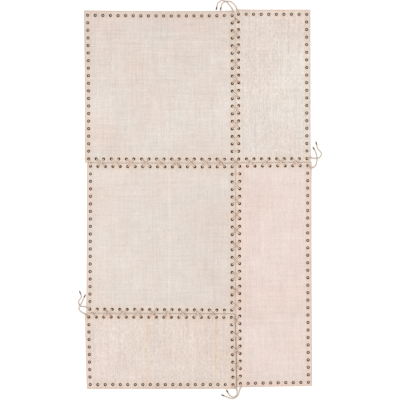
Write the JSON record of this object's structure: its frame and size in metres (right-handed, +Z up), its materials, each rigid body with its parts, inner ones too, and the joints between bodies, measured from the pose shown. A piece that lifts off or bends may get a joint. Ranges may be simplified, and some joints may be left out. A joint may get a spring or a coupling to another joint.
{
  "type": "handwoven rug",
  "caption": "Large flat handwoven rug of plain hemmed panels with eyelets all round, laced together along their seams with flat cords whose free ends lie past the edges.",
  "frame": {"origin": "on the floor, under the middle of the rug's bounding box, free lace ends left out", "axes": "+Z up from the floor, +Y along the rug's length towards the head end at the picture's top, +X to the picture's right"},
  "size_m": [1.9435, 3.1867, 0.0212],
  "materials": {
    "cloth_north_west": "handwoven, matt",
    "cloth_north_east": "handwoven, matt",
    "cloth_west": "handwoven, matt",
    "cloth_south_west": "handwoven, matt",
    "cloth_east": "handwoven, matt",
    "lace": "flat braid, matt",
    "eyelet": "dark antique",
    "tip": "dark gunmetal"
  },
  "bodies": {
    "root": {"panel_north_west": "cloth_north_west", "hem_north_west_north": "cloth_north_west", "hem_north_west_west": "cloth_north_west", "panel_north_east": "cloth_north_east", "hem_north_east_north": "cloth_north_east", "hem_north_east_east": "cloth_north_east", "panel_west": "cloth_west", "hem_west_west": "cloth_west", "panel_south_west": "cloth_south_west", "hem_south_west_south": "cloth_south_west", "hem_south_west_west": "cloth_south_west", "panel_east": "cloth_east", "hem_east_south": "cloth_east", "hem_east_east": "cloth_east", "lace_cross": "lace", "end_cross_a": "lace", "tip_cross_a": "tip", "end_cross_b": "lace", "tip_cross_b": "tip", "lace_upper": "lace", "end_upper_a": "lace", "tip_upper_a": "tip", "end_upper_b": "lace", "tip_upper_b": "tip", "lace_lower": "lace", "end_lower_a": "lace", "tip_lower_a": "tip", "end_lower_b": "lace", "tip_lower_b": "tip", "lace_short": "lace", "end_short_a": "lace", "tip_short_a": "tip", "end_short_b": "lace", "tip_short_b": "tip", "eyelet_c00_r00": "eyelet", "eyelet_c09_r00": "eyelet", "eyelet_c29_r00": "eyelet", "eyelet_c00_r10": "eyelet", "eyelet_c29_r10": "eyelet", "eyelet_c00_r30": "eyelet", "eyelet_c29_r35": "eyelet", "eyelet_c00_r45": "eyelet", "eyelet_c00_r49": "eyelet", "eyelet_c10_r49": "eyelet", "eyelet_c25_r49": "eyelet", "eyelet_c29_r49": "eyelet", "eyelet_c29_r19": "eyelet", "eyelet_c29_r20": "eyelet", "eyelet_c19_r00": "eyelet", "eyelet_c20_r00": "eyelet", "eyelet_c19_r49": "eyelet", "eyelet_c20_r49": "eyelet", "eyelet_c00_r39": "eyelet", "eyelet_c00_r40": "eyelet"}
  },
  "joints": []
}
